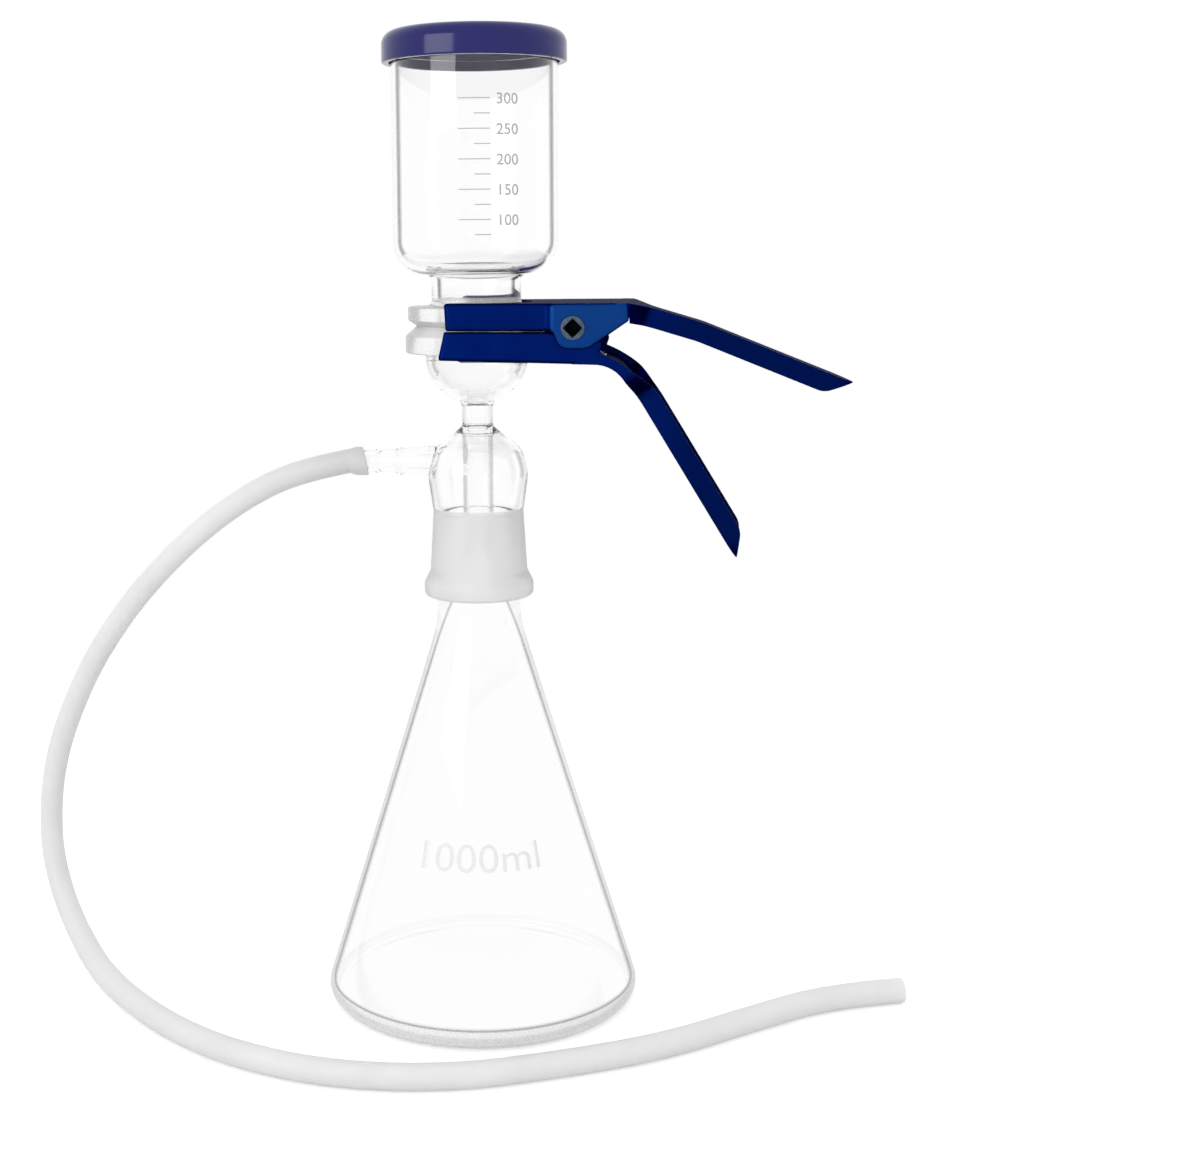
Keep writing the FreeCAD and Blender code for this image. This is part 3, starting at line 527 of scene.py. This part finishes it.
silicone = make_silicone("silicone")
scale_ink = make_ink("scale_ink", 0.36, 0.42)
pale_ink = make_ink("pale_ink", 0.74, 0.80)


# ---------------------------------------------------------------- glass

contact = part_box("funnel")[0].z / MM           # the plane where funnel and base meet
joint_top /= MM
joint_foot /= MM
arm_height = contact - 61.8

# the flask: (radius, height, fillet) for each corner
cone_foot_radius = 73.2
cone_height = 174.0
neck_radius = 18.9
cone_slope = (cone_foot_radius - neck_radius) / cone_height
neck_bore = 15.0
floor_height = 4.5


def cone_radius(z):
    return cone_foot_radius - cone_slope * z


flask_wall_across = 2.4 / math.cos(math.atan(cone_slope))
inner_neck_height = cone_height + (neck_radius - neck_bore - flask_wall_across) / cone_slope
flask_outside = [
    (0, 0, 0),
    (cone_foot_radius, 0, 5.6),
    (neck_radius, cone_height, 40),
    (neck_radius, joint_foot - 2.5, 1.5),
    (20.0, joint_foot, 0.5),
    (18.25, joint_top, 1.2),
]
flask_inside = [
    (neck_bore, joint_top, 1.2),
    (neck_bore, inner_neck_height, 12),
    (cone_radius(floor_height) - flask_wall_across, floor_height, 2.5),
    (0, floor_height, 0),
]
flask = lathe("flask_glass", rounded(flask_outside + flask_inside, False), False, flask_glass,
              len(flask_outside))
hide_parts("flask")

# the base: flange, bowl, stem, chamber and ground skirt, then back up inside them
seat = contact - 4.5                           # where the disc rests
flange_radius = 31.9
flange_foot = contact - 12.2
bowl_radius = 23.4
bowl_bend = 22.9
bowl_inner_bend = 20.75
tube_radius = 6.9
tube_bore = 4.8
drip_tip = contact - 109.5
chamber_shoulder = contact - 56.6
chamber_belly = contact - 66.5
chamber_foot = contact - 84.0
skirt_foot = contact - 122.5
skirt_bore_top = 18.26
base_outside = [
    (20.05, contact, 0),
    (26.7, contact, 1.0),
    (flange_radius, contact - 4.7, 1.5),
    (flange_radius, flange_foot, 1.0),
    (bowl_radius, flange_foot, 0.3),
    (bowl_radius, contact - 17.05, bowl_bend),
    (20.0, contact - 25.5, bowl_bend),
    (13.65, contact - 32.05, bowl_bend),
    (tube_radius, contact - 35.0, 3.0),
    (tube_radius, contact - 45.5, 3.0),
    (20.0, contact - 56.0, 12.0),
    (22.9, chamber_belly, 18.0),
    (20.4, chamber_foot, 4.0),
    (22.0, contact - 111.0, 4.0),
    (24.8, contact - 116.5, 4.0),
    (24.8, skirt_foot, 2.0),
    (20.35, skirt_foot, 0.8),
    (20.05, contact - 119.8, 0),
    (skirt_bore_top, chamber_foot, 0.4),
]
chamber = [
    (21.4, chamber_belly, 16.5),
    (18.5, chamber_shoulder, 10.0),
    (tube_radius, contact - 47.0, 1.5),
]
drip_tube = [
    (tube_radius, drip_tip, 0.5),
    (tube_bore, drip_tip, 0.5),
    (tube_bore, contact - 33.55, 3.0),
    (12.4, contact - 30.2, bowl_inner_bend),
    (18.1, contact - 24.25, bowl_inner_bend),
    (21.2, contact - 16.6, 12.0),
    (18.25, seat, 0),
    (20.05, seat, 0),
]
filter_base = lathe("filter_base_glass", rounded(base_outside + chamber + drip_tube, True), True,
                    base_glass, len(base_outside))


def side_prism(name, outline, half_width, material):
    """Prism across Y over an outline of (x, z) points."""
    mesh = bmesh.new()
    near = [mesh.verts.new((x * MM, -half_width * MM, z * MM)) for x, z in outline]
    face = mesh.faces.new(near)
    swept = bmesh.ops.extrude_face_region(mesh, geom=[face])["geom"]
    far = [item for item in swept if isinstance(item, bmesh.types.BMVert)]
    bmesh.ops.translate(mesh, verts=far, vec=(0, 2 * half_width * MM, 0))
    return finished(name, mesh, material)


def turned_on_arm(name, corners, material):
    """Lathed along -X on the arm's axis; corners are (distance, radius, fillet)."""
    points = [(r, x, corner) for x, r, corner in rounded(corners, False)]
    piece = lathe(name, points, False, material, turn=SMALL_TURN)
    piece.data.transform(Matrix.Rotation(-math.pi / 2, 4, "Y"))
    piece.data.transform(Matrix.Translation((0, 0, arm_height * MM)))
    return piece


# the side arm: a cone and a barbed end, joined to the base and bored
arm_root_radius = 7.0
arm_cone_start = 22.0
arm_cone_length = 22.0
arm_end_radius = 4.8
arm_end = 58.0
arm_bore_radius = 3.15
barb_swell = 0.6
barb_half_length = 2.0


def arm_surface(along):
    share = min(1, max(0, (along - arm_cone_start) / arm_cone_length))
    return arm_end_radius + 2.2 * (1 - share)


stations = [(44.0, 0.0)]
for barb in (35.3, 46.6, 54.4):
    stations += [
        (barb - barb_half_length, 0.0), (barb, barb_swell), (barb + barb_half_length, 0.0),
    ]
arm = turned_on_arm("side_arm", [
    (8.0, 0, 0), (8.0, arm_root_radius, 0), (arm_cone_start, arm_root_radius, 3.0),
    *((along, arm_surface(along) + swell, 0.5) for along, swell in sorted(stations)),
    (arm_end, arm_end_radius, 0.8), (arm_end, 0, 0),
], base_glass)
chamber_space = lathe("chamber_space", [
    (0, chamber_foot, 0), (skirt_bore_top, chamber_foot, 0), (21.4, chamber_belly, 0),
    (18.5, chamber_shoulder, 0), (0, contact - 50.0, 0),
], False, base_glass)
arm_bore = turned_on_arm("arm_bore", [
    (12.0, 0, 0), (12.0, arm_bore_radius, 0), (60.0, arm_bore_radius, 0), (60.0, 0, 0),
], base_glass)
combine(arm, chamber_space, "DIFFERENCE")
combine(filter_base, arm, "UNION")
combine(filter_base, arm_bore, "DIFFERENCE")
cut_reach = tube_radius + 1.0
tip_cut = side_prism("tip_cut", [
    (-cut_reach, drip_tip - 1.0), (cut_reach, drip_tip - 1.0),
    (cut_reach, drip_tip + 9.0), (-tube_radius, drip_tip),
], cut_reach, base_glass)
combine(filter_base, tip_cut, "DIFFERENCE")
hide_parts("filter_base")

# the funnel: flange, neck, cup and rim bead, then back down inside them
cup_radius = 36.8
bead_radius = 37.5
rim = contact + 124.0
groove_radius = 20.0
funnel_bore = 17.5
flange_edge = 30.7
funnel_outside = [
    (funnel_bore, contact, 0),
    (26.7, contact, 1.0),
    (flange_edge, contact + 2.4, 0.8),
    (flange_edge, contact + 8.5, 0.8),
    (groove_radius, contact + 8.5, 3.0),
    (groove_radius, contact + 22.5, 3.0),
    (cup_radius, contact + 23.5, 14.5),
    (cup_radius, contact + 119.3, 1.0),
    (bead_radius, contact + 120.0, 1.0),
    (bead_radius, rim, 1.3),
]
funnel_inside = [
    (34.9, rim, 1.1),
    (34.9, contact + 25.4, 12.6),
    (funnel_bore, contact + 24.4, 5.0),
]
funnel = lathe("funnel_glass", rounded(funnel_outside + funnel_inside, True), True, funnel_glass,
               len(funnel_outside))
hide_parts("funnel")

disc_radius = 20.0
disc = lathe("fritted_disc_grains", rounded([
    (0, seat, 0), (disc_radius, seat, 0.3),
    (disc_radius, contact, 0.3), (0, contact, 0),
], False), False, frit, turn=SMALL_TURN)
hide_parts("fritted_disc")

lid_bore = 37.75
lid_radius = 41.0
lid_foot = contact + 115.3
lid_top = contact + 129.2
lid = lathe("funnel_lid_shell", rounded([
    (0, rim, 0),
    (lid_bore, rim, 0.4),
    (lid_bore, lid_foot, 0.5),
    (lid_radius, lid_foot, 0.8),
    (lid_radius, lid_top, 6.0),
    (0, lid_top, 0),
], False), False, lid_plastic)
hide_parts("funnel_lid")


# ---------------------------------------------------------------- hose

route = [
    (-59, 0, arm_height), (-79, 0, 243.2), (-102, 4.5, 234), (-132, 12, 214.3),
    (-167.5, 24, 181.3), (-196, 35, 144.2), (-214.8, 44, 108.2), (-223.7, 50, 83.5),
    (-227.2, 52, 61), (-226, 49.5, 39.5), (-219, 42, 22.5), (-208.5, 29.5, 11),
    (-194.5, 9.5, 5.5), (-178, -17, 5.5), (-156.5, -44, 5.5), (-129.5, -70.5, 5.5),
    (-97.5, -92.5, 5.5), (-53, -108, 5.5), (-2.5, -107, 5.5), (43, -89.5, 5.5),
    (86, -68, 5.5), (124, -36.5, 5.5), (160, -9, 5.5), (192, 0, 5.5),
]
hose_radius = 5.5
hose_bore = 4.0


def nurbs_points(points, resolution):
    """Points along the smooth curve that the route's points steer."""
    data = bpy.data.curves.new("route", "CURVE")
    data.dimensions = "3D"
    data.resolution_u = resolution
    spline = data.splines.new("NURBS")
    spline.points.add(len(points) - 1)
    for point, place in zip(spline.points, points):
        point.co = (place[0] * MM, place[1] * MM, place[2] * MM, 1)
    spline.order_u = 3
    spline.use_endpoint_u = True
    carrier = bpy.data.objects.new("route", data)
    bpy.context.scene.collection.objects.link(carrier)
    bpy.context.view_layer.update()
    line = bpy.data.meshes.new_from_object(carrier)
    places = [vertex.co.copy() for vertex in line.vertices]
    bpy.data.objects.remove(carrier)
    return places


def tube(name, path, skin, material, around=40):
    """Hollow tube along a path; skin gives (outer radius, inner radius) for each of its points."""
    mesh = bmesh.new()
    side = Vector((0, 1, 0))
    outer, inner = [], []
    for i, place in enumerate(path):
        ahead = (path[min(i + 1, len(path) - 1)] - path[max(i - 1, 0)]).normalized()
        side = (side - ahead * side.dot(ahead)).normalized()
        other = ahead.cross(side)
        for rings, radius in ((outer, skin[i][0]), (inner, skin[i][1])):
            rings.append([
                mesh.verts.new(place + (side * math.cos(a) + other * math.sin(a)) * radius * MM)
                for a in (2 * math.pi * k / around for k in range(around))
            ])
    for rings in (outer, inner):
        for a, b in zip(rings, rings[1:]):
            for k in range(around):
                mesh.faces.new((a[k], a[(k + 1) % around], b[(k + 1) % around], b[k]))
    for a, b in ((outer[0], inner[0]), (outer[-1], inner[-1])):
        for k in range(around):
            mesh.faces.new((a[k], a[(k + 1) % around], b[(k + 1) % around], b[k]))
    return finished(name, mesh, material)


hose_path = nurbs_points(route, 10)
sleeve = [                                     # over the arm's end: (x, outer, inner radius)
    (-51.5, 5.7, 4.84), (-51.6, 6.2, 4.84), (-52.0, 6.5, 5.0), (-52.6, 6.5, 5.45),
    (-56.0, 6.45, 5.45), (-57.0, 6.2, 5.2), (-58.0, 5.8, 4.5),
]
full_path = [Vector((x * MM, 0, arm_height * MM)) for x, *radii in sleeve] + hose_path
skin = [radii for x, *radii in sleeve] + [(hose_radius, hose_bore)] * len(hose_path)
hose = tube("vacuum_hose_tube", full_path, skin, silicone)

# the mouth on the arm is cut at a slant, up and across; the cut fades out along the sleeve
slant_up, slant_across = 0.2, 0.24
fade_end, fade_length = 0.058, 0.006
above_table = 0.2
for vertex in hose.data.vertices:
    if vertex.co.z > above_table:
        fade = min(1.0, max(0.0, (fade_end + vertex.co.x) / fade_length))
        rise = vertex.co.z - arm_height * MM
        vertex.co.x -= fade * (slant_up * rise + slant_across * vertex.co.y)
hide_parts("vacuum_hose")


# ---------------------------------------------------------------- clamp

WIDE_FACE = 40e-6                   # square metres; a bend's strips are smaller than this
FLAT_SIDE = 0.9999                  # a face that looks further along Y than this is a flat side
CAD_WELD = 2e-6                     # metres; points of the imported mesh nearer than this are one


def sheet_copy(name, node, material, edge):
    """Copy of a CAD piece with its triangles merged and its edges softened."""
    mesh = bmesh.new()
    mesh.from_mesh(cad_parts[node].data)
    bmesh.ops.remove_doubles(mesh, verts=mesh.verts, dist=CAD_WELD)
    bmesh.ops.dissolve_limit(mesh, angle_limit=math.radians(1.0), verts=mesh.verts,
                             edges=mesh.edges, use_dissolve_boundaries=False)
    piece = finished(name, mesh, material, 30.0)
    for polygon in piece.data.polygons:
        polygon.use_smooth = polygon.area < WIDE_FACE and abs(polygon.normal.y) < FLAT_SIDE
    modifier = piece.modifiers.new("edge", "BEVEL")
    modifier.width = edge * MM
    modifier.segments = 3
    modifier.limit_method = "ANGLE"
    modifier.angle_limit = math.radians(40)
    modifier.use_clamp_overlap = True
    smooth = piece.modifiers.new("normals", "WEIGHTED_NORMAL")
    smooth.keep_sharp = True
    return piece


upper_jaw = sheet_copy("clamp_upper_sheet", "clamp_upper_jaw", anodised, 0.35)
lower_jaw = sheet_copy("clamp_lower_sheet", "clamp_lower_jaw", anodised, 0.35)
rivet = sheet_copy("clamp_rivet_turned", "clamp_rivet", rivet_steel, 0.15)
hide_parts("clamp_upper_jaw")
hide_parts("clamp_lower_jaw")
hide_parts("clamp_rivet")

# the spring keeps its imported mesh, as a copy with its own data
spring_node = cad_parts["clamp_spring"]
spring = bpy.data.objects.new("clamp_spring_wire", spring_node.data.copy())
spring.matrix_world = spring_node.matrix_world
bpy.context.scene.collection.objects.link(spring)
spring.data.materials.clear()
spring.data.materials.append(spring_steel)
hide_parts("clamp_spring")
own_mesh(spring)


# ---------------------------------------------------------------- printed marks

FONT_CAP = 0.729                    # share of the built-in font's size that a capital is tall


def text_mesh(words, cap_height, widen, thinner):
    """Flat letters of the built-in font, their foot on y = 0."""
    data = bpy.data.curves.new("letters", "FONT")
    data.body = words
    data.size = cap_height / FONT_CAP
    data.offset = -thinner
    data.resolution_u = 6
    carrier = bpy.data.objects.new("letters", data)
    bpy.context.scene.collection.objects.link(carrier)
    bpy.context.view_layer.update()
    flat = bpy.data.meshes.new_from_object(carrier)
    bpy.data.objects.remove(carrier)
    mesh = bmesh.new()
    mesh.from_mesh(flat)
    for vertex in mesh.verts:
        vertex.co.x *= widen
    return mesh


def wrap(mesh, radius_at, azimuth, foot, slope=0.0):
    """Bend flat marks round the glass; azimuth in degrees is where x = 0 goes."""
    reference = radius_at(foot)
    for vertex in mesh.verts:
        z = foot + vertex.co.y * math.cos(slope)
        angle = math.radians(azimuth) + vertex.co.x / reference
        r = radius_at(z)
        vertex.co = Vector((r * math.cos(angle), r * math.sin(angle), z)) * MM


def bar(width, thickness, columns=12):
    mesh = bmesh.new()
    low = [mesh.verts.new((width * k / columns, -thickness / 2, 0)) for k in range(columns + 1)]
    high = [mesh.verts.new((width * k / columns, thickness / 2, 0)) for k in range(columns + 1)]
    for k in range(columns):
        mesh.faces.new((low[k], low[k + 1], high[k + 1], high[k]))
    return mesh


def add_to(whole, part):
    data = bpy.data.meshes.new("mark")
    part.to_mesh(data)
    part.free()
    whole.from_mesh(data)


def cup_print(z):
    return cup_radius + 0.1


def cone_print(z):
    return cone_radius(z) + 0.2


# the funnel's scale, from its top mark down; places round the cup are in degrees
top_mark = contact + 97.3
mark_step = 6.38
long_start, short_start, mark_end, label_start = -94.2, -83.6, -72.8, -68.9
mark_thickness = 0.42
label_height = 4.8
marks = bmesh.new()
for i in range(10):
    height = top_mark - mark_step * i
    long_mark = i % 2 == 0
    start = long_start if long_mark else short_start
    tick = bar((mark_end - start) * math.pi / 180 * cup_radius, mark_thickness)
    wrap(tick, cup_print, start, height)
    add_to(marks, tick)
    if long_mark:
        label = text_mesh(str(300 - 25 * i), label_height, 1.04, -0.012 * label_height)
        wrap(label, cup_print, label_start, height - label_height / 2)
        add_to(marks, label)
scale_marks = finished("scale_marks", marks, scale_ink)

capacity_height = 12.9
capacity_width = 59.5
capacity = text_mesh("1000ml", capacity_height, 1.0, 0.005 * capacity_height)
wide = max(vertex.co.x for vertex in capacity.verts)
for vertex in capacity.verts:
    vertex.co.x *= capacity_width / wide
wrap(capacity, cone_print, -119.7, 72.5, math.atan(cone_slope))
capacity_mark = finished("capacity_mark", capacity, pale_ink)


# ---------------------------------------------------------------- bodies

for piece, slot in (
    (flask, "clear_glass"), (filter_base, "clear_glass"), (funnel, "clear_glass"),
    (disc, "fritted_glass"), (lid, "lid_plastic"), (hose, "silicone"),
    (upper_jaw, "anodised_sheet"), (rivet, "steel"), (spring, "steel"),
    (scale_marks, "clear_glass"), (capacity_mark, "clear_glass"),
):
    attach(piece, "unit")
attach(lower_jaw, "lower_jaw")


# ---------------------------------------------------------------- studio

def any_ray(tree, *kinds):
    """1 for rays of any of these kinds."""
    path = tree.nodes.new("ShaderNodeLightPath")
    found = path.outputs[kinds[0]]
    for kind in kinds[1:]:
        found = math_node(tree, "MAXIMUM", found, path.outputs[kind])
    return found


scene = bpy.context.scene
world = bpy.data.worlds.new("studio")
scene.world = world
world.use_nodes = True
tree = world.node_tree
tree.nodes.clear()
world_out = tree.nodes.new("ShaderNodeOutputWorld")
sky = tree.nodes.new("ShaderNodeBackground")
sky.inputs["Color"].default_value = (1, 1, 1, 1)
seen = any_ray(tree, "Is Camera Ray", "Is Glossy Ray", "Is Transmission Ray")
tree.links.new(spread(tree, seen, 0.90, 1.0, 0.0, 1.0), sky.inputs["Strength"])
tree.links.new(sky.outputs[0], world_out.inputs["Surface"])

# a round of pale paper, just under the object; it turns to the background's white further out
FLOOR_RADIUS = 6.0
FLOOR_DROP = 0.0002
SHADOW_REACH = (0.30, 0.8)
floor_mesh = bmesh.new()
bmesh.ops.create_circle(floor_mesh, cap_ends=True, segments=96, radius=FLOOR_RADIUS)
floor_data = bpy.data.meshes.new("floor")
floor_mesh.to_mesh(floor_data)
floor_mesh.free()
floor = bpy.data.objects.new("floor", floor_data)
floor.location.z = -FLOOR_DROP
scene.collection.objects.link(floor)
material = bpy.data.materials.new("floor_paper")
material.use_nodes = True
tree = material.node_tree
tree.nodes.clear()
floor_out = tree.nodes.new("ShaderNodeOutputMaterial")
paper = tree.nodes.new("ShaderNodeBsdfDiffuse")
tree.links.new(tinted(tree, noise(tree, 60.0), grey(0.78), grey(0.80)), paper.inputs["Color"])
glow = tree.nodes.new("ShaderNodeEmission")
glow.inputs["Color"].default_value = (1, 1, 1, 1)
seen = any_ray(tree, "Is Camera Ray")
tree.links.new(spread(tree, seen, 0.0, 0.42, 0.0, 1.0), glow.inputs["Strength"])
both = tree.nodes.new("ShaderNodeAddShader")
tree.links.new(paper.outputs[0], both.inputs[0])
tree.links.new(glow.outputs[0], both.inputs[1])
plain = tree.nodes.new("ShaderNodeEmission")
plain.inputs["Color"].default_value = (1, 1, 1, 1)
plain.inputs["Strength"].default_value = 1.0
coords = tree.nodes.new("ShaderNodeTexCoord")
length = tree.nodes.new("ShaderNodeVectorMath")
length.operation = "LENGTH"
tree.links.new(coords.outputs["Object"], length.inputs[0])
fade = rising(tree, length.outputs["Value"], *SHADOW_REACH)
fade = math_node(tree, "MAXIMUM", fade, any_ray(tree, "Is Glossy Ray", "Is Transmission Ray"))
far = tree.nodes.new("ShaderNodeMixShader")
tree.links.new(fade, far.inputs[0])
tree.links.new(both.outputs[0], far.inputs[1])
tree.links.new(plain.outputs[0], far.inputs[2])
tree.links.new(far.outputs[0], floor_out.inputs["Surface"])
floor.data.materials.append(material)


def softbox(name, place, target, width, height, power):
    """Rectangular lamp at a place, turned to a target."""
    data = bpy.data.lights.new(name, "AREA")
    data.shape = "RECTANGLE"
    data.size = width
    data.size_y = height
    data.energy = power
    lamp = bpy.data.objects.new(name, data)
    lamp.location = place
    lamp.rotation_euler = (Vector(target) - Vector(place)).to_track_quat("-Z", "Y").to_euler()
    scene.collection.objects.link(lamp)
    return lamp


# the window shows only as a reflection, and the two lamps that light the object never do
window = softbox("window", (-0.74, -1.0, 0.60), (0, 0, 0.40), 0.82, 0.5, 3.8)
window.visible_diffuse = False
key = softbox("key", (-0.3, -1.45, 0.8), (0, 0, 0.2), 1.2, 1.2, 6.6)
key.visible_glossy = False
key.visible_transmission = False
top = softbox("top", (0.2, 0.1, 1.7), (0, 0, 0.1), 1.2, 1.2, 1.0)
top.visible_glossy = False

# the camera: turned a little to the right of the front, just above level, as in the photo
camera_data = bpy.data.cameras.new("camera")
camera = bpy.data.objects.new("camera", camera_data)
scene.collection.objects.link(camera)
scene.camera = camera
view_turn = math.radians(7.0)
view_distance = 0.801
view_height = 0.3436
pitch = math.radians(6.68)
roll = math.radians(0.56)
level = Vector((-math.sin(view_turn), math.cos(view_turn), 0))
right = Vector((level.y, -level.x, 0))
forward = level * math.cos(pitch) - Vector((0, 0, math.sin(pitch)))
up = right.cross(forward)
rolled_right = right * math.cos(roll) - up * math.sin(roll)
rolled_up = up * math.cos(roll) + right * math.sin(roll)
turn = Matrix((rolled_right, rolled_up, -forward)).transposed()
place = -level * view_distance + Vector((0, 0, view_height))
camera.matrix_world = Matrix.Translation(place) @ turn.to_4x4()
camera_data.sensor_width = 36.0
camera_data.lens = 54.4
camera_data.shift_x = 0.0946
camera_data.shift_y = -0.11
camera_data.clip_start = 0.01
camera_data.clip_end = 30.0

scene.view_settings.view_transform = "Standard"
scene.cycles.max_bounces = 28
scene.cycles.transmission_bounces = 28
scene.cycles.transparent_max_bounces = 16
scene.cycles.glossy_bounces = 10
scene.cycles.diffuse_bounces = 4
